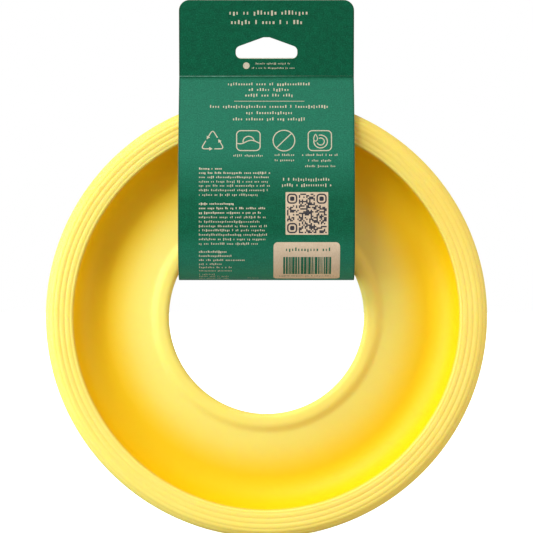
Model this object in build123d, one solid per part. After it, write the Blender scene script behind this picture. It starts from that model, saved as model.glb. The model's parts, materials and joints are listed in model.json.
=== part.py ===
from build123d import *
import math
import os

# A soft flying ring held in a folded hang card, in millimetres.
# X runs across the card, Z is up, and -Y is the open underside of the ring.
# The origin is the middle of the hang hole, half way through the header.

# Ring: one moulding, turned about an axis along Y
ring_radius = 115.0
ring_height = 21.0
rim_inner_radius = 100.4
hole_radius = 51.0
bead_width = 9.4
bead_depth = 11.2
bead_thickness = 6.0
valley_depth = 13.4
channel_depth = 18.4
dome_edge_depth = 10.3
dome_top_radius = 88.0
rim_edge_round = 1.2
rim_corner_round = 6.0
dome_edge_round = 4.0
dome_top_round = 14.0
channel_round = 15.5
bead_round = 2.6
bead_shoulder_round = 5.0
bead_foot_round = 4.0
bead_side_slope = 3.2
groove_count = 6
groove_pitch = 2.9
groove_first = 3.2
groove_width = 1.0
groove_depth = 0.45

# Hang card: one scored board, looped through the ring and glued to itself in the header
card_width = 91.0
board = 0.45
glue_thickness = 0.10
header_height = 40.0
header_lean = 7.0
header_corner_round = 5.5
crease_to_hole = 15.1
crease_gap = 0.8
loop_half_width = 20.0
crease_to_widest = 76.8
crease_to_fold_centre = 85.6

# Hang hole: a delta slot
slot_width = 32.0
slot_height = 11.0
slot_shoulder = 5.8
slot_top_width = 3.2
slot_round = 2.8

# Glue stripes between the two plies of the header
stripe_width = 78.0
upper_stripe_height = 8.0
lower_stripe_height = 5.0
upper_stripe_above_crease = 30.0
lower_stripe_above_crease = 5.0

# Where the ring sits in the loop
ring_centre_below_crease = 124.8
rim_face_before_crease = 6.5

lean = math.radians(header_lean)
crease_y = crease_to_hole * math.sin(lean)
crease_z = -crease_to_hole * math.cos(lean)
ring_centre_z = crease_z - ring_centre_below_crease
rim_face_y = crease_y - rim_face_before_crease
panel_radius = (crease_to_widest**2 + loop_half_width**2) / (2 * loop_half_width)


def ring_section_corners():
    """Corners of the ring's section as (radius, depth behind the rim's face), with their roundings."""
    bead_outer = hole_radius + bead_width
    dome_inner_depth = bead_depth + bead_thickness
    return [
        ((hole_radius, bead_depth), bead_round),
        ((bead_outer - bead_side_slope, bead_depth), bead_shoulder_round),
        ((bead_outer, valley_depth), bead_foot_round),
        ((rim_inner_radius, channel_depth), channel_round),
        ((rim_inner_radius, 0), rim_edge_round),
        ((ring_radius, 0), rim_corner_round),
        ((ring_radius, dome_edge_depth), dome_edge_round),
        ((dome_top_radius, ring_height), dome_top_round),
        ((bead_outer, dome_inner_depth), bead_round),
        ((hole_radius, dome_inner_depth), bead_round),
    ]


def ring_axis():
    return Axis((0, 0, ring_centre_z), (0, 1, 0))


def rim_point(run, lift):
    """A point lifted off the rim's face, a run outwards from the inner edge and on round the corner."""
    flat = ring_radius - rim_corner_round - rim_inner_radius
    turn = max(0.0, run - flat) / rim_corner_round
    reach = rim_corner_round + lift
    radius = rim_inner_radius + min(run, flat) + reach * math.sin(turn)
    depth = rim_corner_round - reach * math.cos(turn)
    return radius, rim_face_y + depth


def grip_grooves():
    """Fine round grooves pressed into the rim's face and corner, one ring for each."""
    grooves = []
    cutter_radius = (groove_width**2 / 4 + groove_depth**2) / (2 * groove_depth)
    for number in range(groove_count):
        radius, centre_y = rim_point(groove_first + number * groove_pitch, cutter_radius - groove_depth)
        section = Pos(radius, centre_y, ring_centre_z) * Circle(cutter_radius)
        grooves.append(revolve(section, axis=ring_axis()))
    return grooves


def make_ring():
    corners = ring_section_corners()
    points = [(radius, rim_face_y + depth) for (radius, depth), rounding in corners]
    roundings = [rounding for corner, rounding in corners]
    outline = FilletPolyline(*points, radius=roundings, close=True)
    section = Pos(0, 0, ring_centre_z) * make_face(outline)
    body = revolve(section, axis=ring_axis())
    return body - grip_grooves()


def header_plane(distance):
    """The plane of the leaning header, shifted towards the ring's dome side by a distance."""
    through = Vector(0, math.cos(lean), math.sin(lean))
    return Plane(origin=through * distance, x_dir=(1, 0, 0), z_dir=(0, -math.cos(lean), -math.sin(lean)))


def slot_outline():
    """The delta slot: a flat base, rounded ends and a low peak."""
    half = slot_width / 2
    base = -slot_height / 2
    shoulder = base + slot_shoulder
    peak = slot_height / 2
    half_peak = slot_top_width / 2
    corners = [
        (-half, base),
        (half, base),
        (half, shoulder),
        (half_peak, peak),
        (-half_peak, peak),
        (-half, shoulder),
    ]
    return make_face(FilletPolyline(*corners, radius=slot_round, close=True))


def make_header_ply(distance):
    """One ply of the header, its middle at a distance from the header's middle plane."""
    low = crease_gap - crease_to_hole
    high = header_height - crease_to_hole
    half = card_width / 2
    corners = [(-half, low), (half, low), (half, high), (-half, high)]
    sharp = 0.01
    roundings = [sharp, sharp, header_corner_round, header_corner_round]
    sheet = make_face(FilletPolyline(*corners, radius=roundings, close=True)) - slot_outline()
    return extrude(header_plane(distance) * sheet, board / 2, both=True)


def make_glue_stripe(above_crease, height):
    middle = above_crease + height / 2 - crease_to_hole
    sheet = Pos(0, middle) * Rectangle(stripe_width, height)
    return extrude(header_plane(0) * sheet, glue_thickness / 2, both=True)


def panel_edge(side, offset):
    """A panel's face from the crease to its widest level and straight on to the fold.
    side is -1 for the back panel and 1 for the front one; offset is out from the board's middle."""
    radius = panel_radius + offset
    centre_y = crease_y - side * (panel_radius - loop_half_width)
    centre_z = crease_z - crease_to_widest
    top = crease_to_widest - crease_gap
    angle_top = math.asin(top / radius)

    def on_arc(angle):
        return (centre_y + side * radius * math.cos(angle), centre_z + radius * math.sin(angle))

    arc = ThreePointArc(on_arc(angle_top), on_arc(angle_top / 2), on_arc(0))
    foot = Line(on_arc(0), (on_arc(0)[0], crease_z - crease_to_fold_centre))
    return Wire([arc.edge(), foot.edge()])


def make_panel(side):
    outer = panel_edge(side, board / 2)
    inner = panel_edge(side, -board / 2)
    start = Line(inner @ 0, outer @ 0)
    end = Line(inner @ 1, outer @ 1)
    section = make_face(outer.edges() + inner.edges() + [start.edge(), end.edge()])
    return extrude(Plane.YZ * section, card_width / 2, both=True)


def make_bottom_fold():
    """The half round bend that carries the ring's inner edge."""
    middle = (crease_y, crease_z - crease_to_fold_centre)
    outer = Pos(*middle) * Circle(loop_half_width + board / 2)
    inner = Pos(*middle) * Circle(loop_half_width - board / 2)
    span = 3 * loop_half_width
    lower_half = Pos(middle[0], middle[1] - span / 2) * Rectangle(span, span)
    section = (outer - inner) & lower_half
    return extrude(Plane.YZ * section, card_width / 2, both=True)


ply_offset = (glue_thickness + board) / 2
parts = {
    "ring": make_ring(),
    "back_header_ply": make_header_ply(-ply_offset),
    "front_header_ply": make_header_ply(ply_offset),
    "upper_glue_stripe": make_glue_stripe(upper_stripe_above_crease, upper_stripe_height),
    "lower_glue_stripe": make_glue_stripe(lower_stripe_above_crease, lower_stripe_height),
    "back_panel": make_panel(-1),
    "bottom_fold": make_bottom_fold(),
    "front_panel": make_panel(1),
}

os.makedirs("parts", exist_ok=True)
for name, part in parts.items():
    export_step(part, f"parts/{name}.step")
    box = part.bounding_box()
    print(f"{name}: {part.volume:.0f} mm3, y {box.min.Y:.1f} to {box.max.Y:.1f}, z {box.min.Z:.1f} to {box.max.Z:.1f}")
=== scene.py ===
import bpy
import json
import math
import numpy as np
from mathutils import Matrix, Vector


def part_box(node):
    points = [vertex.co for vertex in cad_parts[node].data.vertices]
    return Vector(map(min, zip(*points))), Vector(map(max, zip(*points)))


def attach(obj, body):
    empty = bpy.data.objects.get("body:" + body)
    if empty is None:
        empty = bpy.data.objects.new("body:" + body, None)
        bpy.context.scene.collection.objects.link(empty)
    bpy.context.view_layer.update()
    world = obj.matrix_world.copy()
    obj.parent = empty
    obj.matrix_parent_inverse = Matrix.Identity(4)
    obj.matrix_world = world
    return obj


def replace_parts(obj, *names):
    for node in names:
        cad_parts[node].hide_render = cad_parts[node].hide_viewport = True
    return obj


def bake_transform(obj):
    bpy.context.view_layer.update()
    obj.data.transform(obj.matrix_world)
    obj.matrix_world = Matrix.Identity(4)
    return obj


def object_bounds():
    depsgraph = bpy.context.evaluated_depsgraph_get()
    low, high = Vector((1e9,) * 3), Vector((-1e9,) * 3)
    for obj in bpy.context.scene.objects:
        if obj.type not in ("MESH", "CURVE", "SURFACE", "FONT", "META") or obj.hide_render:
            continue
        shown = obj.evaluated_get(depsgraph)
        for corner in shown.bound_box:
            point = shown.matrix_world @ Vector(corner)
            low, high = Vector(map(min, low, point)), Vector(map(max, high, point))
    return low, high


# A soft flying ring in its looped hang card. Metres throughout; lengths in the settings are millimetres.
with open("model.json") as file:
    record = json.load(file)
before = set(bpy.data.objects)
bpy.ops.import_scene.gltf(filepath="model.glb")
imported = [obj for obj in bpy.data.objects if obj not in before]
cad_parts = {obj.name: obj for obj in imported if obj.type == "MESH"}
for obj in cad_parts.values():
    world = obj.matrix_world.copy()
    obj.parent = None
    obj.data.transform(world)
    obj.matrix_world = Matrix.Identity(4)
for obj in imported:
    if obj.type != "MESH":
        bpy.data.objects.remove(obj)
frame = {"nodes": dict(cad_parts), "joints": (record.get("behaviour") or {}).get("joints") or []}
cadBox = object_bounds()
scene = bpy.context.scene
mm = 0.001
rng = np.random.default_rng(11)

ringLow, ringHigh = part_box("ring")
ringCentre = (ringLow + ringHigh) / 2
rimFaceY = ringLow.y
creasePoint = [j for j in frame["joints"] if j["name"] == "header_crease"][0]["pos_m"]


# A mesh piece at the origin, from an array of corners and a list or array of faces.
def meshObject(name, vertices, faces, materials, faceMaterials=None, smooth=True):
    mesh = bpy.data.meshes.new(name)
    mesh.from_pydata(np.asarray(vertices, float).tolist(), [], [list(map(int, f)) for f in faces])
    for m in materials:
        mesh.materials.append(m)
    if faceMaterials is not None:
        mesh.polygons.foreach_set("material_index", np.asarray(faceMaterials, np.int32))
    mesh.polygons.foreach_set("use_smooth", np.full(len(mesh.polygons), smooth))
    mesh.update()
    piece = bpy.data.objects.new(name, mesh)
    scene.collection.objects.link(piece)
    return piece


# Quads of a grid whose corner (r, c) is number r * columns + c.
def gridFaces(rows, columns, wrapRows=False, wrapColumns=False):
    r = np.arange(rows if wrapRows else rows - 1)[:, None]
    c = np.arange(columns if wrapColumns else columns - 1)[None, :]
    r2, c2 = (r + 1) % rows, (c + 1) % columns
    corners = [r * columns + c, r2 * columns + c, r2 * columns + c2, r * columns + c2]
    return np.stack(corners, -1).reshape(-1, 4)


# Rides the piece on its body and hides the nodes that it stands for.
def place(piece, body, slotName, *nodes):
    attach(piece, body)
    if nodes:
        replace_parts(piece, *nodes)
    return piece


# A material by name, with its nodes, its links and its shader.
def newMaterial(name):
    m = bpy.data.materials.new(name)
    m.use_nodes = True
    return m, m.node_tree.nodes, m.node_tree.links, m.node_tree.nodes["Principled BSDF"]


# Fractal noise at a place; scale is in cells for each metre.
def noiseNode(nodes, links, vector, scale, detail=3.0, roughness=0.55):
    n = nodes.new("ShaderNodeTexNoise")
    n.inputs["Scale"].default_value = scale
    n.inputs["Detail"].default_value = detail
    n.inputs["Roughness"].default_value = roughness
    links.new(vector, n.inputs["Vector"])
    return n.outputs["Fac"]


# A colour ramp with (place, colour) stops; one number stands for a grey.
def rampNode(nodes, links, value, stops):
    ramp = nodes.new("ShaderNodeValToRGB")
    elements = ramp.color_ramp.elements
    while len(elements) < len(stops):
        elements.new(0.5)
    for element, (position, colour) in zip(elements, stops):
        element.position = position
        element.color = (*(colour if isinstance(colour, tuple) else (colour,) * 3), 1)
    links.new(value, ramp.inputs["Fac"])
    return ramp.outputs["Color"]


# A colour mix; each of its three inputs is a socket or a plain value.
def mixNode(nodes, links, factor, first, second, blend="MIX"):
    mix = nodes.new("ShaderNodeMix")
    mix.data_type = "RGBA"
    mix.blend_type = blend
    for index, value in ((0, factor), (6, first), (7, second)):
        if isinstance(value, bpy.types.NodeSocket):
            links.new(value, mix.inputs[index])
        elif index == 0:
            mix.inputs[index].default_value = value
        else:
            mix.inputs[index].default_value = (*value, 1)
    return mix.outputs[2]


# One step of arithmetic on sockets or plain values.
def mathNode(nodes, links, operation, *values):
    n = nodes.new("ShaderNodeMath")
    n.operation = operation
    for socket, value in zip(n.inputs, values):
        if isinstance(value, bpy.types.NodeSocket):
            links.new(value, socket)
        else:
            socket.default_value = value
    return n.outputs[0]


# Bump from a height of 0 to 1 over a distance in metres, on top of an earlier bump if there is one.
def bumpNode(nodes, links, height, strength, distance, normal=None):
    b = nodes.new("ShaderNodeBump")
    b.inputs["Strength"].default_value = strength
    b.inputs["Distance"].default_value = distance
    links.new(height, b.inputs["Height"])
    if normal is not None:
        links.new(normal, b.inputs["Normal"])
    return b.outputs["Normal"]


# the ring: radii out from its axis, and depths in from the rim's face
ring = {
    "rimInner": 100.4,
    "holeRadius": 51.0,
    "beadWidth": 9.4,
    "beadDepth": 11.2,
    "beadSideSlope": 3.2,
    "valleyDepth": 13.4,
    "channelDepth": 18.4,
    "domeEdgeDepth": 10.3,
    "domeTopRadius": 88.0,
    "domeTopRise": 0.33,  # the dome's corner lies this far past the ring's full depth, before it is rounded
    "domeInnerDepth": 17.2,
    "beadRound": 2.7,
    "beadSideRound": 5.0,
    "valleyRound": 4.0,
    "channelRound": 15.5,
    "lipRound": 1.3,
    "rimCorner": 6.0,
    "domeEdgeRound": 4.0,
    "domeTopRound": 14.0,
    "holeEdgeRound": 2.6,
    "ribPitch": 2.75,
    "ribDepth": 0.42,
    "ribStart": 0.3,
    "ribZone": 9.0,  # ribs lie on the rim down to this depth
    "ribFadeIn": 1.2,  # the ribs start this far along the rim and grow over as much again
    "ribFadeOut": 2.0,
    "flash": 0.10,  # the mould's parting line stands out by this
    "flashDepth": 6.15,
    "flashHalf": 0.3,
    "sectionStep": 0.30,
    "turns": 360,
    "colour": (0.96, 0.70, 0.150),
    "cloudColour": (0.95, 0.665, 0.128),
    # a darker, more orange painted shade for the channel, where light bounces round inside it
    "paintedShadeColour": (0.97, 0.56, 0.0005),
    "paintedShadeFrom": 62.0,  # the painted shade starts at this radius and is full at the next
    "paintedShadeFull": 86.0,
    "paintedShadeLip": 0.6,
    "paintedShadeRise": 3.5,
    "cloudScale": 14,
    "grainScale": 900,
    "rippleScale": 45,
    "roughness": 0.52,
    "gloss": 0.24,
    "glow": 0.60,  # share of light that goes in and comes out again, by the reach of each colour below
    "glowReach": (0.008, 0.005, 0.0010),
}


# A smooth hump: one at its place, falling with the exponential of minus the squared distance from it,
# counted in half widths.
def hump(run, at, half):
    return np.exp(-(((run - at) / half) ** 2))


# A closed outline with each corner, (point, radius), swapped for an arc that touches both its sides.
# The arc's centre is on the corner's bisector, at the radius over the sine of half the corner's angle.
# Points follow at about the given step.
def roundedLine(corners, step):
    points = np.array([c for c, r in corners], float)
    rounds = np.array([r for c, r in corners], float)
    before = np.roll(points, 1, 0) - points
    after = np.roll(points, -1, 0) - points
    before /= np.linalg.norm(before, axis=1)[:, None]
    after /= np.linalg.norm(after, axis=1)[:, None]
    half = np.arccos(np.clip((before * after).sum(1), -1, 1)) / 2
    middle = before + after
    middle /= np.linalg.norm(middle, axis=1)[:, None]
    centres = points + middle * (rounds / np.sin(half))[:, None]
    starts = points + before * (rounds / np.tan(half))[:, None]
    ends = points + after * (rounds / np.tan(half))[:, None]
    line = []
    for i in range(len(points)):
        a0 = math.atan2(*(starts[i] - centres[i])[::-1])
        a1 = math.atan2(*(ends[i] - centres[i])[::-1])
        turn = (a1 - a0 + math.pi) % (2 * math.pi) - math.pi
        count = max(4, int(abs(turn) * rounds[i] / step))
        angles = a0 + turn * np.linspace(0, 1, count + 1)
        line.append(centres[i] + rounds[i] * np.stack([np.cos(angles), np.sin(angles)], 1))
        run = starts[(i + 1) % len(points)] - ends[i]
        count = int(np.linalg.norm(run) / step)
        if count > 1:
            line.append(ends[i] + run * np.linspace(0, 1, count + 1)[1:-1, None])
    return np.concatenate(line)


# The ring's section as (radius, depth) pairs, and how much painted shade each point takes. A rib's height is
# the root of the sine of its place across the rib, so that ribs are round and the grooves between are
# narrow.
def ringProfile():
    s = ring
    radius = (ringHigh.x - ringLow.x) / 2 / mm - s["flash"]
    height = (ringHigh.y - ringLow.y) / mm
    beadOuter = s["holeRadius"] + s["beadWidth"]
    corners = [
        ((s["holeRadius"], s["beadDepth"]), s["beadRound"]),
        ((beadOuter - s["beadSideSlope"], s["beadDepth"]), s["beadSideRound"]),
        ((beadOuter, s["valleyDepth"]), s["valleyRound"]),
        ((s["rimInner"], s["channelDepth"]), s["channelRound"]),
        ((s["rimInner"], 0), s["lipRound"]),
        ((radius, 0), s["rimCorner"]),
        ((radius, s["domeEdgeDepth"]), s["domeEdgeRound"]),
        ((s["domeTopRadius"], height + s["domeTopRise"]), s["domeTopRound"]),
        ((beadOuter, s["domeInnerDepth"]), s["holeEdgeRound"]),
        ((s["holeRadius"], s["domeInnerDepth"]), s["holeEdgeRound"]),
    ]
    line = roundedLine(corners, s["sectionStep"])
    ahead = np.roll(line, -1, 0) - line
    run = np.concatenate([[0], np.cumsum(np.linalg.norm(ahead, axis=1))[:-1]])
    inRim = (line[:, 1] < s["ribZone"]) & (line[:, 0] > s["rimInner"] - 0.01)
    rimRun = run - run[inRim].min()
    wave = np.abs(np.sin(np.pi * (rimRun - s["ribStart"]) / s["ribPitch"]))
    ribs = s["ribDepth"] * (1 - np.sqrt(wave + 0.02))
    fadeIn = np.clip((rimRun - s["ribFadeIn"]) / s["ribFadeIn"], 0, 1)
    fadeOut = np.clip((rimRun[inRim].max() - rimRun) / s["ribFadeOut"], 0, 1)
    depthIn = np.where(inRim, ribs.clip(0, None) * (fadeIn * fadeOut), 0)
    line = line - outward(line) * depthIn[:, None]
    widest = line[:, 0] > radius - 0.5
    line[:, 0] += np.where(widest, s["flash"] * hump(line[:, 1], s["flashDepth"], s["flashHalf"]), 0)
    # a darker, more orange painted shade stands in for the light bounced round the channel; it fills the
    # channel's outer part and fades towards its middle and towards the rim's edge
    share = np.clip((line[:, 0] - s["paintedShadeFrom"]) / (s["paintedShadeFull"] - s["paintedShadeFrom"]), 0, 1)
    rise = np.clip((line[:, 1] - s["paintedShadeLip"]) / s["paintedShadeRise"], 0, 1)
    inChannel = (line[:, 1] > s["paintedShadeLip"]) & (line[:, 0] < s["rimInner"] + 0.2)
    under = (outward(line)[:, 1] < 0.3) & inChannel
    deep = under * share**2 * (3 - 2 * share) * rise
    # the ribs keep every point and the plain stretches every third
    keep = inRim | (np.arange(len(line)) % 3 == 0)
    return line[keep], deep[keep]


# Unit normals of a closed outline, turned away from its inside.
def outward(line):
    along = np.roll(line, -1, 0) - np.roll(line, 1, 0)
    normals = np.stack([along[:, 1], -along[:, 0]], 1)
    normals /= np.maximum(np.linalg.norm(normals, axis=1)[:, None], 1e-9)
    area = np.sum(line[:, 0] * np.roll(line[:, 1], -1) - np.roll(line[:, 0], -1) * line[:, 1])
    return normals if area > 0 else -normals


# Soft yellow rubber: a slow cloud of two yellows that goes over to a darker, more orange painted shade in
# the channel, and a faint grain.
def ringMaterial():
    s = ring
    m, nodes, links, bsdf = newMaterial("soft_yellow_rubber")
    place3d = nodes.new("ShaderNodeTexCoord").outputs["Object"]
    cloud = noiseNode(nodes, links, place3d, s["cloudScale"], 3)
    plain = rampNode(nodes, links, cloud, [(0.3, s["cloudColour"]), (0.7, s["colour"])])
    # the painted shade in the channel, read from the section
    deep = nodes.new("ShaderNodeAttribute")
    deep.attribute_name = "paintedShadeTone"
    tone = mixNode(nodes, links, deep.outputs["Fac"], plain, s["paintedShadeColour"])
    links.new(tone, bsdf.inputs["Base Color"])
    grain = noiseNode(nodes, links, place3d, s["grainScale"], 2)
    ripple = noiseNode(nodes, links, place3d, s["rippleScale"], 2)
    rippled = bumpNode(nodes, links, ripple, 0.12, 0.0008)
    links.new(bumpNode(nodes, links, grain, 0.10, 0.0002, rippled), bsdf.inputs["Normal"])
    bsdf.inputs["Roughness"].default_value = s["roughness"]
    bsdf.inputs["Specular IOR Level"].default_value = s["gloss"]
    bsdf.inputs["Subsurface Weight"].default_value = s["glow"]
    bsdf.inputs["Subsurface Radius"].default_value = s["glowReach"]
    bsdf.inputs["Subsurface Scale"].default_value = 1.0
    return m


# The ring: its section turned once round the ring's axis.
def makeRing():
    profile, deep = ringProfile()
    angles = np.linspace(0, 2 * np.pi, ring["turns"], endpoint=False)
    radius = profile[None, :, 0] * mm
    x = ringCentre.x + radius * np.cos(angles)[:, None]
    z = ringCentre.z + radius * np.sin(angles)[:, None]
    y = np.broadcast_to(rimFaceY + profile[None, :, 1] * mm, x.shape)
    vertices = np.stack([x, y, z], -1).reshape(-1, 3)
    faces = gridFaces(len(angles), len(profile), True, True)
    piece = meshObject("flying_ring", vertices, faces, [ringMaterial()])
    # each point's share of the painted shade in the channel
    layer = piece.data.attributes.new("paintedShadeTone", "FLOAT", "POINT")
    layer.data.foreach_set("value", np.tile(deep, len(angles)).astype(np.float32))
    pointOutwards(piece)
    place(piece, "ring", "ring_rubber", "ring")
    print("ring:", len(profile), "section points,", len(faces) * 2, "triangles")


# Turns every face outwards, judged by the closed mesh's signed volume.
def pointOutwards(piece):
    mesh = piece.data
    co = np.zeros(len(mesh.vertices) * 3)
    mesh.vertices.foreach_get("co", co)
    co = co.reshape(-1, 3)
    mesh.calc_loop_triangles()
    tri = np.zeros(len(mesh.loop_triangles) * 3, np.int32)
    mesh.loop_triangles.foreach_get("vertices", tri)
    a, b, c = (co[tri.reshape(-1, 3)[:, k]] for k in range(3))
    if np.einsum("ij,ij->", a, np.cross(b, c)) < 0:
        mesh.flip_normals()


makeRing()

# the hang card: drops and runs are measured down from its crease, the hang hole from its own centre
card = {
    "width": 91.0,
    "boardHalf": 0.225,
    "outerLift": 0.205,
    "bevel": 0.06,
    "headerHeight": 40.0,
    "headerLean": 7.0,
    "cornerRound": 5.5,
    "creaseToHole": 15.1,
    "plyOffset": 0.275,
    "creaseHalf": 0.85,
    "loopHalfWidth": 20.0,
    "creaseToWidest": 76.8,
    "creaseToFoldCentre": 85.6,
    "slotWidth": 32.0,
    "slotHeight": 11.0,
    "slotShoulder": 5.8,
    "slotTopWidth": 3.2,
    "slotRound": 2.8,
    "grooveDepth": 0.30,
    "grooveAt": 0.10,
    "grooveHalf": 0.22,
    "lipHeight": 0.02,
    "lipAt": -0.30,
    "lipHalf": 0.16,
    # a lighter streak on the score's lip: partly cracked ink, partly a painted highlight where the lip
    # catches the light
    "crackHighlightShare": 1.5,
    "crackHighlightAt": -0.34,
    "crackHighlightHalf": 0.20,
    "green": (0.0006, 0.086, 0.0360),
    "greenDark": (0.0002, 0.063, 0.0245),
    "greenWorn": (0.009, 0.124, 0.061),
    # paler green for the painted sheen below the score and for the bounce light and wear round the fold
    "greenSheenAndWear": (0.040, 0.270, 0.165),
    # the streak's colour: cracked ink and painted highlight
    "crackHighlightColour": (0.22, 0.42, 0.30),
    # how far the print is painted paler: a painted sheen below the score, and round the fold partly painted
    # bounce light and partly wear
    "sheenAndWear": [
        (0.002, 0), (0.010, 0.62), (0.22, 0.66), (0.34, 0.08),
        (0.42, 0.04), (0.48, 0.50), (0.54, 1), (0.66, 0.12),
    ],
    "sheenAndWearScale": 5.0,  # the sheen and wear's places are runs in metres, times this
    "mottleScale": 1500,
    "cloudScale": 300,
    "streakScale": 420,
    "fibreScale": 2600,
    "waveScale": 110,
    "gloss": 0.12,
    "kraft": (0.50, 0.36, 0.235),
    "kraftDark": (0.36, 0.245, 0.150),
    "kraftFibreScale": 1800,
    "kraftCloudScale": 90,
}
crease = np.array(creasePoint) / mm
# each panel is an arc that is upright at the loop's widest, then straight down to the half round fold
loopRadius = (card["creaseToWidest"] ** 2 + card["loopHalfWidth"] ** 2) / (2 * card["loopHalfWidth"])
arcTop = math.asin(card["creaseToWidest"] / loopRadius)
arcRun = loopRadius * arcTop
panelRun = arcRun + card["creaseToFoldCentre"] - card["creaseToWidest"]
foldRun = math.pi * card["loopHalfWidth"]


# The length along the board at a height below the crease, on the panel or the near half of the fold.
def runAtDrop(drop):
    drop = np.asarray(drop, float)
    onArc = loopRadius * (arcTop - np.arcsin(np.clip((card["creaseToWidest"] - drop) / loopRadius, 0, 1)))
    straight = np.clip(drop - card["creaseToWidest"], 0, card["creaseToFoldCentre"] - card["creaseToWidest"])
    below = np.clip((drop - card["creaseToFoldCentre"]) / card["loopHalfWidth"], 0, 1)
    return np.where(drop < 0, drop, onArc + straight + card["loopHalfWidth"] * np.arcsin(below))


# Place and outward direction across the loop, as (out from the crease, up), at runs below the crease: a
# large arc, a short straight and the half round fold.
def loopPoint(run):
    s = card
    angle = np.clip(arcTop - run / loopRadius, 0, None)
    bend = np.clip((run - panelRun) / s["loopHalfWidth"], 0, math.pi)
    straight = np.clip(run - arcRun, 0, panelRun - arcRun)
    beyond = np.clip(run - panelRun - foldRun, 0, None)
    onArc = run < arcRun
    arcOut = loopRadius * np.cos(angle) - loopRadius + s["loopHalfWidth"]
    out = np.where(onArc, arcOut, s["loopHalfWidth"] * np.cos(bend))
    up = crease[2] - s["creaseToWidest"] + np.where(
        onArc, loopRadius * np.sin(angle), beyond - straight - s["loopHalfWidth"] * np.sin(bend)
    )
    direction = np.where(onArc, angle, -bend)
    return np.stack([out, up], -1), np.stack([np.cos(direction), np.sin(direction)], -1)


# The same as loopPoint for the straight header, whose runs are below zero.
def headerPoint(run, face):
    lean = math.radians(card["headerLean"])
    rise = -run - card["creaseToHole"]
    out = face * (-rise * math.sin(lean) - crease[1]) + card["plyOffset"] * math.cos(lean)
    up = rise * math.cos(lean) + face * card["plyOffset"] * math.sin(lean)
    normal = np.array([math.cos(lean), face * math.sin(lean)])
    return np.stack([out, up], -1), np.broadcast_to(normal, (*np.shape(run), 2))


# The same for the score: a cubic from the header's end to the panel's start that keeps both slopes.
def creasePath(run, face):
    half = card["creaseHalf"]
    p0, n0 = headerPoint(np.array(-half), face)
    p1, n1 = loopPoint(np.array(half))
    reach = np.linalg.norm(p1 - p0)
    t0, t1 = np.array([n0[1], -n0[0]]) * reach, np.array([n1[1], -n1[0]]) * reach
    t = (np.asarray(run, float)[..., None] + half) / (2 * half)
    spot = (
        (2 * t**3 - 3 * t**2 + 1) * p0
        + (t**3 - 2 * t**2 + t) * t0
        + (3 * t**2 - 2 * t**3) * p1
        + (t**3 - t**2) * t1
    )
    along = (
        (6 * t**2 - 6 * t) * p0
        + (3 * t**2 - 4 * t + 1) * t0
        + (6 * t - 6 * t**2) * p1
        + (3 * t**2 - 2 * t) * t1
    )
    along = along / np.linalg.norm(along, axis=-1, keepdims=True)
    return spot, np.stack([-along[..., 1], along[..., 0]], -1)


# Points in metres at a place across the card, a run along the board and a lift out from its middle.
def boardPoint(x, run, lift, face):
    x, run, lift = np.broadcast_arrays(np.asarray(x, float), run, lift)
    inHeader = (run < -card["creaseHalf"])[..., None]
    inCrease = (np.abs(run) <= card["creaseHalf"])[..., None]
    hp, hn = headerPoint(run, face)
    cp, cn = creasePath(np.clip(run, -card["creaseHalf"], card["creaseHalf"]), face)
    lp, ln = loopPoint(np.clip(run, 0, None))
    spot = np.where(inHeader, hp, np.where(inCrease, cp, lp))
    normal = np.where(inHeader, hn, np.where(inCrease, cn, ln))
    spot = spot + normal * lift[..., None]
    return np.stack([x, crease[1] + face * spot[..., 0], spot[..., 1]], -1) * mm


# The card's own map, in metres: place across the card and run along it, so that grain follows the board.
def boardMap(piece, x, run):
    layer = piece.data.uv_layers.new(name="boardMap")
    corner = np.zeros(len(piece.data.loops), np.int32)
    piece.data.loops.foreach_get("vertex_index", corner)
    flat = np.stack([np.ravel(x), np.ravel(run)], 1)[corner] * mm
    layer.data.foreach_set("uv", flat.astype(np.float32).ravel())


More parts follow.
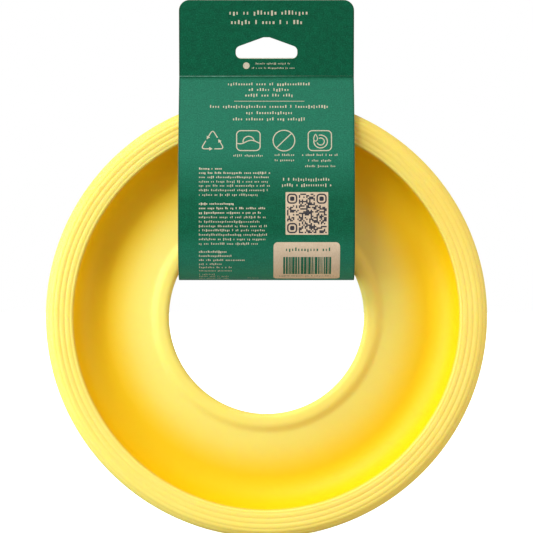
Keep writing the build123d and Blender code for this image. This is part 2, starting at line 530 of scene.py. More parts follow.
# The green print: a fine mottle of three greens times a slow cloud, painted paler for a sheen below the
# score and for bounce light and wear round the fold, with painted shade at the rolled side edges and a
# lighter streak at the score that is partly cracked ink and partly a painted highlight.
def greenBoard():
    s = card
    m, nodes, links, bsdf = newMaterial("green_printed_board")
    where = nodes.new("ShaderNodeUVMap")
    where.uv_map = "boardMap"
    mapPlace = where.outputs["UV"]
    mottle = noiseNode(nodes, links, mapPlace, s["mottleScale"], 4, 0.65)
    cloud = noiseNode(nodes, links, mapPlace, s["cloudScale"], 3)
    greens = [(0.34, s["greenDark"]), (0.52, s["green"]), (0.72, s["greenWorn"])]
    tone = rampNode(nodes, links, mottle, greens)
    shade = rampNode(nodes, links, cloud, [(0.3, 0.84), (0.7, (1.14, 1.12, 1.10))])
    tone = mixNode(nodes, links, 1.0, tone, shade, "MULTIPLY")
    split = nodes.new("ShaderNodeSeparateXYZ")
    links.new(mapPlace, split.inputs["Vector"])
    # a painted sheen below the score, and painted bounce light with some wear round the fold
    along = mathNode(nodes, links, "MULTIPLY", split.outputs["Y"], s["sheenAndWearScale"])
    sheenAndWear = rampNode(nodes, links, along, s["sheenAndWear"])
    sheenAndWearShare = mathNode(nodes, links, "MULTIPLY", sheenAndWear, mottle)
    tone = mixNode(nodes, links, sheenAndWearShare, tone, s["greenSheenAndWear"])
    # painted shade along the side edges, where the cut board rolls over: places across the card in metres,
    # times twenty
    aside = mathNode(nodes, links, "ABSOLUTE", split.outputs["X"])
    aside = mathNode(nodes, links, "MULTIPLY", aside, 20.0)
    edgeShade = rampNode(nodes, links, aside, [(0.888, 1), (0.902, (0.62, 0.66, 0.66))])
    tone = mixNode(nodes, links, 1.0, tone, edgeShade, "MULTIPLY")
    crackAndHighlight = nodes.new("ShaderNodeAttribute")
    crackAndHighlight.attribute_name = "crackAndHighlight"
    streak = noiseNode(nodes, links, mapPlace, s["streakScale"], 3)
    # lighter streaks on the score's lip: partly cracked ink, partly a painted highlight
    crackHighlight = mathNode(nodes, links, "MULTIPLY", crackAndHighlight.outputs["Fac"], streak)
    tone = mixNode(nodes, links, crackHighlight, tone, s["crackHighlightColour"])
    links.new(tone, bsdf.inputs["Base Color"])
    fibre = noiseNode(nodes, links, mapPlace, s["fibreScale"], 2)
    wave = noiseNode(nodes, links, mapPlace, s["waveScale"], 2)
    waved = bumpNode(nodes, links, wave, 0.20, 0.0003)
    links.new(bumpNode(nodes, links, fibre, 0.16, 0.00010, waved), bsdf.inputs["Normal"])
    dullness = rampNode(nodes, links, mottle, [(0.2, 0.46), (0.8, 0.62)])
    links.new(dullness, bsdf.inputs["Roughness"])
    bsdf.inputs["Specular IOR Level"].default_value = s["gloss"]
    return m


# Plain board: a mottle of two browns, stretched along the board like fibres, times a slow cloud.
def kraftBoard(name="unbleached_board", light=None, dark=None):
    m, nodes, links, bsdf = newMaterial(name)
    where = nodes.new("ShaderNodeUVMap")
    where.uv_map = "boardMap"
    stretch = nodes.new("ShaderNodeMapping")
    stretch.inputs["Scale"].default_value = (1.0, 0.35, 1.0)
    links.new(where.outputs["UV"], stretch.inputs["Vector"])
    fibre = noiseNode(nodes, links, stretch.outputs["Vector"], card["kraftFibreScale"], 5, 0.7)
    cloud = noiseNode(nodes, links, where.outputs["UV"], card["kraftCloudScale"], 3)
    tone = rampNode(nodes, links, fibre, [(0.28, dark or card["kraftDark"]), (0.62, light or card["kraft"])])
    shade = rampNode(nodes, links, cloud, [(0.3, (0.93, 0.92, 0.90)), (0.7, 1.05)])
    links.new(mixNode(nodes, links, 1.0, tone, shade, "MULTIPLY"), bsdf.inputs["Base Color"])
    links.new(bumpNode(nodes, links, fibre, 0.25, 0.00008), bsdf.inputs["Normal"])
    bsdf.inputs["Roughness"].default_value = 0.82
    bsdf.inputs["Specular IOR Level"].default_value = 0.25
    return m


# Once round the board's cut: places across the card and shares of its thickness, from the printed face
# over one edge, along the inner face and back over the other edge. The third list tells which spans are
# printed.
def boardColumns():
    half, b = card["width"] / 2, card["bevel"]
    middle = np.linspace(-half + 4, half - 4, 13)
    face = np.concatenate([[-half + b, -half + 0.5], middle, [half - 0.5, half - b]])
    x = np.concatenate([face, [half, half], face[::-1], [-half, -half]])
    n = len(face)
    shoulder = 0.7
    bend = np.array([shoulder, -shoulder])
    lift = np.concatenate([np.full(n, 1.0), bend, np.full(n, -1.0), -bend])
    printed = np.concatenate([np.ones(n - 1), np.zeros(len(x) - n + 1)])
    return x, lift, printed


# A stretch of the card: the board's cut carried along it, with both ends closed.
def boardStrip(name, runs, face, body=None, groove=None, crackAndHighlight=None):
    x, share, printed = boardColumns()
    outer, inner = card["outerLift"], -card["boardHalf"]
    runs = np.asarray(runs, float)
    top = np.full(len(runs), outer) if groove is None else outer + groove
    lift = inner + (top[:, None] - inner) * (share + 1) / 2
    grid = boardPoint(x[None, :], runs[:, None], lift, face).reshape(-1, 3)
    rows, columns = len(runs), len(x)
    faces = gridFaces(rows, columns, False, True)
    materials = np.where(np.tile(printed, rows - 1) > 0, 0, 1)
    n = (columns - 4) // 2
    # the ends are rows of quads between the two faces, with the bevelled edges at their sides
    k = np.arange(n - 1)
    back = columns - 3 - k
    cap = np.stack([k, k + 1, back - 1, back], 1)
    sides = np.array([[n - 1, n, n + 1, n + 2], [0, columns - 3, columns - 2, columns - 1]])
    cap = np.concatenate([cap, sides])
    last = (rows - 1) * columns
    allFaces = np.concatenate([faces, cap, cap[:, ::-1] + last])
    materials = np.concatenate([materials, np.ones(2 * len(cap), int)])
    piece = meshObject(name, grid, allFaces, [greenInk, kraft], materials)
    across, along = np.broadcast_arrays(x[None, :], runs[:, None])
    boardMap(piece, across, along)
    # the streak of cracked ink and painted highlight at the score, where one is given
    if crackAndHighlight is not None:
        layer = piece.data.attributes.new("crackAndHighlight", "FLOAT", "POINT")
        layer.data.foreach_set("value", crackAndHighlight(x[None, :], runs[:, None]).astype(np.float32).ravel())
    pointOutwards(piece)
    piece.data.set_sharp_from_angle(angle=math.radians(60))
    if body:
        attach(piece, body)
    return piece


# The hang hole's outline: a flat base, round ends and a low peak.
def slotLine():
    s = card
    half, base, peak = s["slotWidth"] / 2, -s["slotHeight"] / 2, s["slotHeight"] / 2
    corners = [(-half, base), (half, base), (half, base + s["slotShoulder"]), (s["slotTopWidth"] / 2, peak)]
    corners += [(-s["slotTopWidth"] / 2, peak), (-half, base + s["slotShoulder"])]
    return roundedLine([(c, s["slotRound"]) for c in corners], 0.1)


# The header's outline about the hang hole: square at the crease and round at the top.
def headerLine():
    s = card
    half, low = s["width"] / 2, s["creaseHalf"] - s["creaseToHole"]
    high = s["headerHeight"] - s["creaseToHole"]
    square, rounded = 0.02, s["cornerRound"]
    corners = [((-half, low), square), ((half, low), square)]
    corners += [((half, high), rounded), ((-half, high), rounded)]
    return roundedLine(corners, 1.0)


# How far an outline that goes round the origin is from it, along each angle.
def alongRays(line, angles):
    about = np.arctan2(line[:, 1], line[:, 0])
    order = np.argsort(about)
    return np.interp(angles, about[order], np.hypot(line[order, 0], line[order, 1]), period=2 * np.pi)


# One ply of the header: rows spread evenly along rays from the hang hole's edge to the outline, then
# over the cut edge and back along the inner face.
def headerPly(name, face, node):
    outer = headerLine()
    angles = np.arctan2(outer[:, 1], outer[:, 0])
    reach = alongRays(slotLine(), angles)
    inner = np.stack([np.cos(angles), np.sin(angles)], 1) * reach[:, None]
    span = np.linalg.norm(outer - inner, axis=1)
    small, line = card["bevel"], 0.5
    insets = [small, line]
    spread = np.linspace(0, 1, 9)[1:-1]
    share = np.concatenate([
        np.array(insets)[None, :] / span[:, None],
        np.broadcast_to(spread, (len(span), len(spread))),
        1 - np.array(insets[::-1])[None, :] / span[:, None],
    ], 1)
    count = share.shape[1]
    ones, zeros = np.ones((len(span), 2)), np.zeros((len(span), 2))
    rows = np.concatenate([share, ones, share[:, ::-1], zeros], 1)
    top, low = card["outerLift"], -card["boardHalf"]
    edgeTop, edgeLow = top - small, low + small
    lift = np.concatenate([np.full(count, top), [edgeTop, edgeLow], np.full(count, low), [edgeLow, edgeTop]])
    flat = inner[:, None, :] + (outer - inner)[:, None, :] * rows[..., None]
    run = -flat[..., 1] - card["creaseToHole"]
    points = boardPoint(flat[..., 0], run, lift[None, :], face)
    faces = gridFaces(len(span), rows.shape[1], True, True)
    printed = np.zeros(rows.shape[1])
    printed[: count - 1] = 1
    materials = np.where(np.tile(printed, len(span)) > 0, 0, 1)
    piece = meshObject(name, points.reshape(-1, 3), faces, [greenInk, kraft], materials)
    boardMap(piece, flat[..., 0], run)
    pointOutwards(piece)
    piece.data.set_sharp_from_angle(angle=math.radians(60))
    place(piece, "header", "card_board", node)


# The scored stretch between header and panel: a smooth hump for the lip, another taken away for the groove,
# and a third for a lighter streak on the lip, partly cracked ink and partly a painted highlight, stronger
# towards the left.
def creaseStrip(name, face):
    s = card
    half = s["creaseHalf"]
    runs = np.linspace(-half, half, 29)
    lip = s["lipHeight"] * hump(runs, s["lipAt"], s["lipHalf"])
    groove = lip - s["grooveDepth"] * hump(runs, s["grooveAt"], s["grooveHalf"])

    def crackedAndHighlighted(x, run):
        return s["crackHighlightShare"] * hump(run, s["crackHighlightAt"], s["crackHighlightHalf"]) * np.clip(0.62 - x / 60, 0.15, 1.0)

    piece = boardStrip(name, runs, face, None, groove, crackedAndHighlighted)
    ends = boardPoint(0, np.array([-0.8 * half, 0.8 * half]), 0.0, face)
    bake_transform(piece)


# The whole card: two header plies, two scored strips, two panels and the fold that joins them.
def makeCard():
    half = card["creaseHalf"]
    panelRuns = np.concatenate([[half], np.linspace(1.5, panelRun, 90)])
    foldRuns = panelRun + foldRun * np.linspace(0, 1, 61)
    headerPly("header_back_board", -1, "back_header_ply")
    headerPly("header_front_board", 1, "front_header_ply")
    creaseStrip("crease_back_board", -1)
    creaseStrip("crease_front_board", 1)
    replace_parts(boardStrip("loop_back_board", panelRuns, -1, "card_loop"), "back_panel")
    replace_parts(boardStrip("loop_front_board", panelRuns, 1, "card_loop"), "front_panel")
    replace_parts(boardStrip("loop_fold_board", foldRuns, -1, "card_loop"), "bottom_fold")
    print("card boards made")


# the card's print, in plain marks that spell nothing: lifts out from the board's middle, and inks
ink = {
    "textLow": 0.195,
    "textHigh": 0.213,
    "overLow": 0.205,
    "overHigh": 0.222,
    "cream": (0.62, 0.49, 0.34),
    "creamDark": (0.47, 0.37, 0.25),
    "window": (0.66, 0.47, 0.315),
    "windowDark": (0.56, 0.385, 0.245),
    "code": (0.020, 0.018, 0.022),
    "codeLight": (0.035, 0.030, 0.034),
    "speckScale": 2400,
    "pen": 0.52,
    # stand-in text, as shares of a line's height, of a block's pitch or of all blocks
    "pitch": 0.60,
    "spaces": 0.17,
    "tallOnes": 0.28,
    "deepOnes": 0.12,
    "blockHalf": 0.24,
    "tallBy": 0.24,
    "deepBy": 0.20,
    "narrow": 0.34,
    "widthRange": 0.22,
    "widest": 0.86,
}


# A thin film of ink: a fine mottle of a light and a dark tone, with the same mottle as its bump.
def printInk(name, light, dark):
    m, nodes, links, bsdf = newMaterial(name)
    where = nodes.new("ShaderNodeTexCoord").outputs["Object"]
    speck = noiseNode(nodes, links, where, ink["speckScale"], 3, 0.6)
    links.new(rampNode(nodes, links, speck, [(0.32, dark), (0.60, light)]), bsdf.inputs["Base Color"])
    links.new(bumpNode(nodes, links, speck, 0.15, 0.00005), bsdf.inputs["Normal"])
    bsdf.inputs["Roughness"].default_value = 0.6
    bsdf.inputs["Specular IOR Level"].default_value = 0.3
    return m


# Thin closed slabs that follow the board. edges holds, for each mark and row, its two sides as (across,
# run) pairs. A closed mark joins its last row to its first.
def ribbons(edges, low, high, face, closed=False):
    edges = np.asarray(edges, float)
    if edges.ndim == 3:
        edges = edges[None]
    marks, rows = edges.shape[:2]
    layers = [boardPoint(edges[..., 0], edges[..., 1], lift, face) for lift in (low, high)]
    corners = np.stack(layers, -2).reshape(-1, 3)
    r = np.arange(rows if closed else rows - 1)
    a, b = r * 4, ((r + 1) % rows) * 4
    quads = [
        np.stack([a + 1, b + 1, b + 3, a + 3], 1),
        np.stack([a, a + 2, b + 2, b], 1),
        np.stack([a, b, b + 1, a + 1], 1),
        np.stack([a + 2, a + 3, b + 3, b + 2], 1),
    ]
    if not closed:
        end = (rows - 1) * 4
        quads.append(np.array([[0, 1, 3, 2], [end, end + 2, end + 3, end + 1]]))
    one = np.concatenate(quads)
    faces = one[None] + (np.arange(marks) * rows * 4)[:, None, None]
    # turn round the marks whose signed volume is below zero
    middle = corners.reshape(marks, -1, 3).mean(1)[:, None, None]
    q = corners[faces] - middle
    normals = np.cross(q[:, :, 1] - q[:, :, 0], q[:, :, 3] - q[:, :, 0])
    volume = np.einsum("mfi,mfi->m", q[:, :, 0] + q[:, :, 2], normals)
    faces[volume < 0] = faces[volume < 0][:, :, ::-1]
    return corners, faces.reshape(-1, 4)


# Several sets of corners and faces as one.
def joined(parts):
    starts = np.cumsum([0] + [len(p[0]) for p in parts[:-1]])
    return np.concatenate([p[0] for p in parts]), np.concatenate([p[1] + s for p, s in zip(parts, starts)])


# Rows for plain rectangles, one for each entry of the four lists, evenly spaced from top to bottom.
def blockEdges(left, right, top, bottom, rows=2):
    left, right, top, bottom = np.broadcast_arrays(left, right, top, bottom)
    share = np.linspace(0, 1, rows)
    run = top[..., None] + (bottom - top)[..., None] * share
    return np.stack([np.stack(np.broadcast_arrays(side[..., None], run), -1) for side in (left, right)], -2)


# A line of stand-in text: evenly spaced blocks of one height, left out here and there like the gaps between
# words, with a few taller or deeper ones.
def textLine(left, right, drop, height, weight=1.0):
    s = ink
    pitch = height * s["pitch"]
    count = max(2, int((right - left) / pitch))
    across = np.linspace(left, right - pitch * 0.6, count)
    space = rng.random(count) < s["spaces"]
    space[1:] &= ~space[:-1]
    space[[0, -1]] = False
    tall = rng.random(count) < s["tallOnes"]
    deep = rng.random(count) < s["deepOnes"]
    wide = s["narrow"] + s["widthRange"] * rng.random(count)
    run = float(runAtDrop(drop))
    top = run - height * (s["blockHalf"] + s["tallBy"] * tall)
    bottom = run + height * (s["blockHalf"] + s["deepBy"] * deep)
    width = pitch * np.minimum(wide * weight, s["widest"])
    rows = 2 + int(height / 0.7)
    return blockEdges(across, across + width, top, bottom, rows)[~space]


# Rows for a pen line of one width, or of a width for each point, along (across, run) points.
def stroke(points, width, closed=False):
    points = np.asarray(points, float)
    if closed:
        along = np.roll(points, -1, 0) - np.roll(points, 1, 0)
    else:
        along = np.gradient(points, axis=0)
    along /= np.linalg.norm(along, axis=1)[:, None]
    aside = np.stack([-along[:, 1], along[:, 0]], 1) * (np.broadcast_to(width, len(points)) / 2)[:, None]
    return np.stack([points - aside, points + aside], 1)


# Points round a circle from one angle to another, in degrees, counted from the right and turning upwards.
def arcLine(centre, radius, start, end, count=24):
    angles = np.radians(np.linspace(start, end, count))
    return np.stack([centre[0] + radius * np.cos(angles), centre[1] - radius * np.sin(angles)], 1)


# A closed outline: a box whose corners are arcs.
def roundedBox(left, right, top, bottom, radius):
    corners = [(left, top), (right, top), (right, bottom), (left, bottom)]
    return roundedLine([(c, radius) for c in corners], 0.35)


# Rows that fill a rounded box, each drawn in by the radius less the corner circle's width at its height.
def roundedPatch(left, right, top, bottom, radius, rows):
    near = np.linspace(0, math.pi / 2, 6)
    ease = radius * (1 - np.cos(near))
    drawnIn = radius * (1 - np.sin(near))
    straight = np.linspace(top + radius, bottom - radius, rows)[1:-1]
    run = np.concatenate([top + ease, straight, bottom - ease[::-1]])
    inset = np.concatenate([drawnIn, np.zeros(rows - 2), drawnIn[::-1]])
    return np.stack([np.stack([left + inset, run], 1), np.stack([right - inset, run], 1)], 1)


# Several marks joined into one piece that rides on a body.
def printPiece(name, parts, material, body):
    vertices, faces = joined(parts)
    piece = meshObject(name, vertices, faces, [material], None, False)
    place(piece, body, "card_board")
    return piece


# Marks of ink on the board, from their rows.
def inkRows(rows, face=-1, closed=False):
    return ribbons(rows, ink["textLow"], ink["textHigh"], face, closed)


# Marks that lie over a patch of other ink, a little higher.
def overRows(rows, closed=False):
    return ribbons(rows, ink["overLow"], ink["overHigh"], -1, closed)


# A line of ink along a path.
def penLine(points, width=ink["pen"], closed=False, face=-1):
    return inkRows(stroke(points, width, closed), face, closed)


# Four plain care marks: three chasing arrows, a float on water, a struck circle and a drop by a plate.
def iconRow():
    middle = float(runAtDrop(33.8))
    parts = []
    # three arrows, each bent round a corner of a triangle, with a head that tapers to its point
    centre, reach = np.array([-27.8, middle + 1.0]), 6.9
    for turn in (90, 210, 330):
        angles = np.radians(turn + np.array([-120, 0, 120]))
        before, tip, after = centre + reach * np.stack([np.cos(angles), -np.sin(angles)], 1)
        leave, arrive = after - tip, before - tip
        parts.append(penLine(roundedCorner(tip + arrive * 0.42, tip, tip + leave * 0.40, 2.1)))
        head = tip + leave * np.linspace(0.36, 0.50, 4)[:, None]
        parts.append(penLine(head, np.linspace(1.9, 0.05, 4)))
    # a float on water: a half circle over one wave of a sine
    parts.append(penLine(roundedBox(-15.4, -3.3, middle - 5.4, middle + 5.4, 2.2), closed=True))
    across = np.linspace(-15.2, -3.5, 30)
    swell = middle + 0.8 - 0.95 * np.sin((across + 13.0) / 11.7 * 2 * np.pi - 1.2)
    parts.append(penLine(np.stack([across, swell], 1)))
    parts.append(penLine(arcLine((-9.2, middle + 0.6), 2.9, 10, 188)))
    # a struck circle
    parts.append(penLine(arcLine((9.0, middle), 5.6, 0, 352, 48), closed=True))
    slash = np.array([5.2, middle + 3.8]) + np.array([7.6, -7.6]) * np.linspace(0, 1, 8)[:, None]
    parts.append(penLine(slash))
    # a drop by a plate: the drop's width is the sine of the turn times the sine of half of it
    parts.append(penLine(roundedBox(21.5, 33.5, middle - 5.4, middle + 5.4, 2.2), closed=True))
    parts.append(penLine(arcLine((27.9, middle + 0.5), 3.5, 105, -190, 36)))
    parts.append(penLine(arcLine((27.9, middle + 0.5), 1.9, 120, -160, 28)))
    turn = np.linspace(0, 2 * np.pi, 24, endpoint=False)
    drop = np.stack([25.3 + 1.25 * np.sin(turn) * np.sin(turn / 2), middle - 1.6 - 1.9 * np.cos(turn)], 1)
    parts.append(penLine(drop, 0.45, True))
    return parts


# An open path that goes by a corner, rounded by a curve of the second degree.
def roundedCorner(start, corner, end, radius):
    before = (start - corner) / np.linalg.norm(start - corner)
    after = (end - corner) / np.linalg.norm(end - corner)
    t = np.linspace(0, 1, 12)[:, None]
    a, b = corner + before * radius, corner + after * radius
    curve = (1 - t) ** 2 * a + 2 * t * (1 - t) * corner + t**2 * b
    return np.concatenate([[start], curve, [end]])


# A made-up square code that holds nothing: random modules and three rounded corner marks.
def squareCode(left, top, size):
    count = 27
    cornerCount = 7
    module = size / (count + 2)
    column, row = np.meshgrid(np.arange(count), np.arange(count))
    inCorner = ((column < 8) | (column > count - 9)) & (row < 8) | (column < 8) & (row > count - 9)
    filled = (rng.random((count, count)) < 0.50) & ~inCorner
    x = left + module * (column[filled] + 1)
    y = top + module * (row[filled] + 1)
    block = module * 0.98
    parts = [overRows(blockEdges(x, x + block, y, y + block))]
    far = count - cornerCount
    for cornerColumn, cornerRow in ((0, 0), (far, 0), (0, far)):
        x, y = left + module * (cornerColumn + 1), top + module * (cornerRow + 1)
        border = roundedBox(x + module / 2, x + module * 6.5, y + module / 2, y + module * 6.5, 1.5)
        parts.append(overRows(stroke(border, module, True), True))
        eye = roundedPatch(x + module * 2, x + module * 5, y + module * 2, y + module * 5, 0.7, 4)
        parts.append(overRows(eye))
    return parts


# where the marks lie: a line of text is (left, right, drop below the crease, height)
layout = {
    "headerLines": [
        (-19.2, 21.4, -33.1, 2.9), (-18.4, 18.6, -28.2, 2.9),
        (-5.6, 12.2, -6.9, 1.15), (-7.6, 14.6, -4.6, 1.15),
    ],
    "emblem": (-12.2, -8.8, -7.6, -4.2, 1.6, 3),  # left, right, top, bottom, corner radius and rows
    "loopLines": [
        (-20.0, 22.5, 4.1, 2.2), (-9.2, 11.6, 7.1, 2.2), (-11.0, 13.7, 10.1, 2.2),
        (-29.2, 31.9, 16.1, 2.2), (-10.5, 13.4, 19.4, 2.2), (-17.3, 20.0, 22.7, 2.2),
        (-17.0, -1.9, 41.7, 1.5), (4.3, 14.2, 41.4, 1.5), (4.3, 14.2, 44.1, 1.5),
        (18.4, 36.6, 41.4, 1.5), (21.5, 33.4, 44.3, 1.5), (19.9, 35.5, 47.2, 1.5),
        (8.5, 32.4, 54.1, 2.0), (8.0, 33.4, 57.0, 2.0),
    ],
    "rule": (-16.8, 19.6, 13.1, 0.28),  # left, right, drop and thickness
    # the left column's lines, as (drop, right end, weight)
    "columnLeft": -34.7,
    "columnLines": [
        (48.5, -23.2, 1.5), (50.7, 1.7, 1.4), (52.9, 1.2, 1.2), (55.2, 0.7, 1), (57.3, 1.7, 1),
        (59.6, 0.7, 1), (62.0, -4.5, 1), (66.6, -17.0, 1.5), (68.9, -0.9, 1.4), (71.2, -3.0, 1.4),
        (73.5, -0.4, 1), (75.8, -3.5, 1), (78.1, 0.2, 1), (80.2, -0.9, 1), (82.5, 0.2, 1),
        (84.8, -0.4, 1), (87.1, -4.5, 1), (91.2, -20.6, 1.3), (93.3, -18.0, 1.3), (95.4, -11.3, 1.3),
        (97.4, -23.2, 1.3), (99.1, -18.0, 1.2), (100.8, -18.0, 1.2), (102.6, -26.8, 1),
        (103.6, -19.6, 1), (104.6, -19.6, 1),
    ],
    "smallLine": (-10.2, -4.0, 104.4, 0.7),
    # two windows of bare board, one for each code
    "codeLeft": 9.8,
    "codeDrop": 60.5,
    "codeSize": 21.9,
    "barWindow": (3.6, 37.8, 86.2, 104.7),  # left, right, and the drops of its top and bottom
    "barLeft": 8.6,
    "barsWidth": 24.7,
    "barDrops": (93.7, 102.4),
    "barLines": [(10.0, 32.9, 90.1, 2.5), (6.6, 34.8, 103.4, 1.3)],
    "frontHeaderLine": (-24, 24, -30.5, 3.6),
    "frontRings": [(21.0, 1.1), (18.4, 0.6), (9.2, 1.1)],  # radius and pen width
    "frontLines": [(-30, 30, 64, 4.4), (-24, 24, 71, 2.4), (-20, 20, 76, 2.4), (-28, 28, 86, 1.6)],
}


# The print on the card's back, at the ring's open side, from the top of the header to the fold.
def makePrint():
    s = layout
    cream = printInk("cream_print", ink["cream"], ink["creamDark"])
    windowInk = kraftBoard("bare_board_window", ink["window"], ink["windowDark"])
    codeInk = printInk("black_print", ink["code"], ink["codeLight"])
    barInk = printInk("green_print", card["green"], card["greenWorn"])

    parts = [inkRows(textLine(*line)) for line in s["headerLines"]]
    parts.append(inkRows(roundedPatch(*s["emblem"])))
    printPiece("header_print", parts, cream, "header")

    parts = [inkRows(textLine(*line)) for line in s["loopLines"]]
    left, right, drop, thick = s["rule"]
    rule = float(runAtDrop(drop))
    parts.append(inkRows(blockEdges(left, right, rule - thick / 2, rule + thick / 2)))
    for drop, right, weight in s["columnLines"]:
        height = 1.45 if drop < 100 else 1.2
        parts.append(inkRows(textLine(s["columnLeft"], right, drop, height, weight)))
    parts.append(inkRows(textLine(*s["smallLine"])))
    printPiece("loop_print", parts, cream, "card_loop")
    printPiece("loop_icons", iconRow(), cream, "card_loop")

    # the windows' grain is mapped by place across the card and height
    codeLeft, codeSize = s["codeLeft"], s["codeSize"]
    codeTop = float(runAtDrop(s["codeDrop"]))
    left, right, top, bottom = s["barWindow"]
    windows = [
        inkRows(roundedPatch(codeLeft, codeLeft + codeSize, codeTop, codeTop + codeSize, 0.3, 20)),
        inkRows(roundedPatch(left, right, float(runAtDrop(top)), float(runAtDrop(bottom)), 2.2, 30)),
    ]
    vertices, faces = joined(windows)
    piece = meshObject("code_windows", vertices, faces, [windowInk], None, False)
    boardMap(piece, vertices[:, 0] / mm, vertices[:, 2] / mm)
    place(piece, "card_loop", "card_board")
    printPiece("square_code", squareCode(codeLeft, codeTop, codeSize), codeInk, "card_loop")

    # bars and gaps of random widths, stretched to fill the space
    widths = rng.choice([0.42, 0.84, 1.26, 1.68], 45, p=[0.34, 0.30, 0.22, 0.14])
    widths[1::2] = rng.choice([0.28, 0.42, 0.70], 22, p=[0.5, 0.35, 0.15])
    ends = s["barLeft"] + np.cumsum(widths) * (s["barsWidth"] / widths.sum())
    starts = np.concatenate([[s["barLeft"]], ends[:-1]])
    barTop, barBottom = (float(runAtDrop(drop)) for drop in s["barDrops"])
    parts = [overRows(blockEdges(starts[::2], ends[::2], barTop, barBottom, 14))]
    parts += [overRows(textLine(*line)) for line in s["barLines"]]
    printPiece("bar_code", parts, barInk, "card_loop")
    print("print marks made")


# The print on the card's front, at the ring's domed side: a plain ring and a few lines of stand-in text.
def makeFrontPrint():
    s = layout
    cream = bpy.data.materials["cream_print"]
    parts = [inkRows(textLine(*s["frontHeaderLine"]), 1)]
    printPiece("header_print_front", parts, cream, "header")
    centre = (0, float(runAtDrop(34)))
    parts = []
    for radius, width in s["frontRings"]:
        parts.append(penLine(arcLine(centre, radius, 0, 355, 72), width, True, 1))
    parts += [inkRows(textLine(*line), 1) for line in s["frontLines"]]
    printPiece("loop_print_front", parts, cream, "card_loop")
    print("front print made")


# The two dried glue stripes keep their solids and get a dull finish: a mottle of two creams.
def dressGlue():
    m, nodes, links, bsdf = newMaterial("dried_glue")
    where = nodes.new("ShaderNodeTexCoord").outputs["Object"]
    streak = noiseNode(nodes, links, where, 700, 3)
    tone = rampNode(nodes, links, streak, [(0.3, (0.66, 0.60, 0.46)), (0.7, (0.84, 0.80, 0.68))])
    links.new(tone, bsdf.inputs["Base Color"])
    links.new(bumpNode(nodes, links, streak, 0.2, 0.0001), bsdf.inputs["Normal"])
    bsdf.inputs["Roughness"].default_value = 0.5
    for name in ("upper_glue_stripe", "lower_glue_stripe"):
        for slot in frame["nodes"][name].material_slots:
            slot.material = m


greenInk = greenBoard()
kraft = kraftBoard()
makeCard()
makePrint()
makeFrontPrint()
dressGlue()

# the floor, the lights and the camera, placed from the ring's centre, in metres
stage = {
    "floorSize": 14.0,
    "floorGap": 0.0002,
    "floorSeen": 0.92,
    "floorBounce": 0.47,
    "floorGlow": 0.85,
    "worldLight": 0.42,
    "sunPower": 2.20,
    "sunSoftness": 26.0,
    "sunFrom": (-0.42, -0.55, 0.72),
    "sunColour": (0.92, 0.97, 1.0),
    "sidePower": 4.9,
    "sideSize": 0.45,
    "sideFrom": (-0.66, -0.34, 0.12),
    "sideColour": (0.58, 0.82, 1.0),
    "fillPower": 2.5,
    "fillSize": 0.60,
    "fillFrom": (0.70, -0.20, -0.06),
    "fillColour": (1.0, 0.97, 0.92),
    "cameraDistance": 1.450,
    "cameraRise": 0.0261,
    "cameraFrom": 0.0085,  # the distance is counted from this depth behind the rim's face
    "lens": 187.8,
}


# A square lamp at an offset from the ring's centre, turned to face it.
def areaLight(name, offset, power, size, colour):
    data = bpy.data.lights.new(name, "AREA")
    data.energy = power
    data.size = size
    data.color = colour
    lamp = bpy.data.objects.new(name, data)
    scene.collection.objects.link(lamp)
    lamp.location = ringCentre + Vector(offset)
    lamp.rotation_mode = "QUATERNION"
    lamp.rotation_quaternion = (-Vector(offset)).to_track_quat("-Z", "Y")


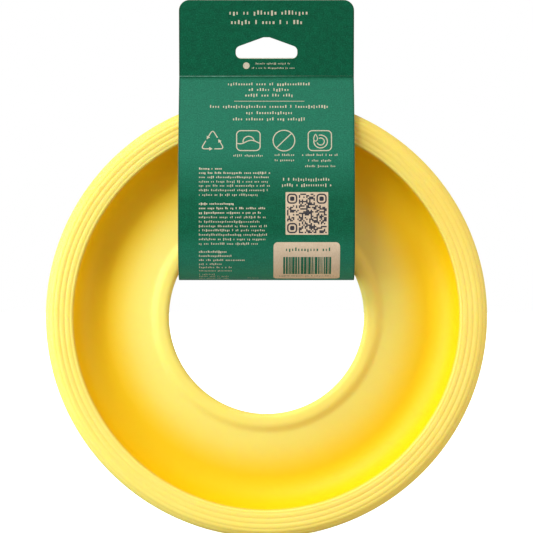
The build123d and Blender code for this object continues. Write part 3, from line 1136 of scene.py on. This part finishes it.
# A wide floor just under the ring, a pale sky, a soft sun from the upper left and two side lamps.
def makeStage():
    half = stage["floorSize"] / 2
    floorZ = cadBox[0].z - stage["floorGap"]
    corners = [(-half, -half, floorZ), (half, -half, floorZ), (half, half, floorZ), (-half, half, floorZ)]
    # the floor looks white but throws little light back up
    m, nodes, links, bsdf = newMaterial("pale_floor")
    seen = nodes.new("ShaderNodeLightPath").outputs["Is Camera Ray"]
    shades = [(stage[k],) * 3 for k in ("floorBounce", "floorSeen")]
    links.new(mixNode(nodes, links, seen, *shades), bsdf.inputs["Base Color"])
    bsdf.inputs["Roughness"].default_value = 0.9
    bsdf.inputs["Emission Color"].default_value = (1, 1, 1, 1)
    links.new(mathNode(nodes, links, "MULTIPLY", seen, stage["floorGlow"]), bsdf.inputs["Emission Strength"])
    floor = meshObject("floor", corners, [(0, 1, 2, 3)], [m])
    world = bpy.data.worlds.new("studio")
    scene.world = world
    world.use_nodes = True
    nodes, links = world.node_tree.nodes, world.node_tree.links
    sky = nodes["Background"]
    sky.inputs["Color"].default_value = (1, 1, 1, 1)
    path = nodes.new("ShaderNodeLightPath")
    level = nodes.new("ShaderNodeMix")
    level.inputs["A"].default_value = stage["worldLight"]
    level.inputs["B"].default_value = 1.0
    links.new(path.outputs["Is Camera Ray"], level.inputs["Factor"])
    links.new(level.outputs["Result"], sky.inputs["Strength"])
    data = bpy.data.lights.new("key", "SUN")
    data.energy = stage["sunPower"]
    data.angle = math.radians(stage["sunSoftness"])
    data.color = stage["sunColour"]
    lamp = bpy.data.objects.new("key", data)
    scene.collection.objects.link(lamp)
    lamp.rotation_mode = "QUATERNION"
    lamp.rotation_quaternion = (-Vector(stage["sunFrom"])).to_track_quat("-Z", "Y")
    areaLight("side", stage["sideFrom"], stage["sidePower"], stage["sideSize"], stage["sideColour"])
    areaLight("fill", stage["fillFrom"], stage["fillPower"], stage["fillSize"], stage["fillColour"])
    scene.view_settings.view_transform = "Standard"


# A long lens straight in front of the ring's rim.
def makeCamera():
    data = bpy.data.cameras.new("camera")
    data.lens = stage["lens"]
    data.clip_end = 50
    camera = bpy.data.objects.new("camera", data)
    scene.collection.objects.link(camera)
    y = rimFaceY + stage["cameraFrom"] - stage["cameraDistance"]
    camera.location = (ringCentre.x, y, ringCentre.z + stage["cameraRise"])
    camera.rotation_euler = (math.pi / 2, 0, 0)
    scene.camera = camera


makeStage()
makeCamera()
print("stage, light and camera made")
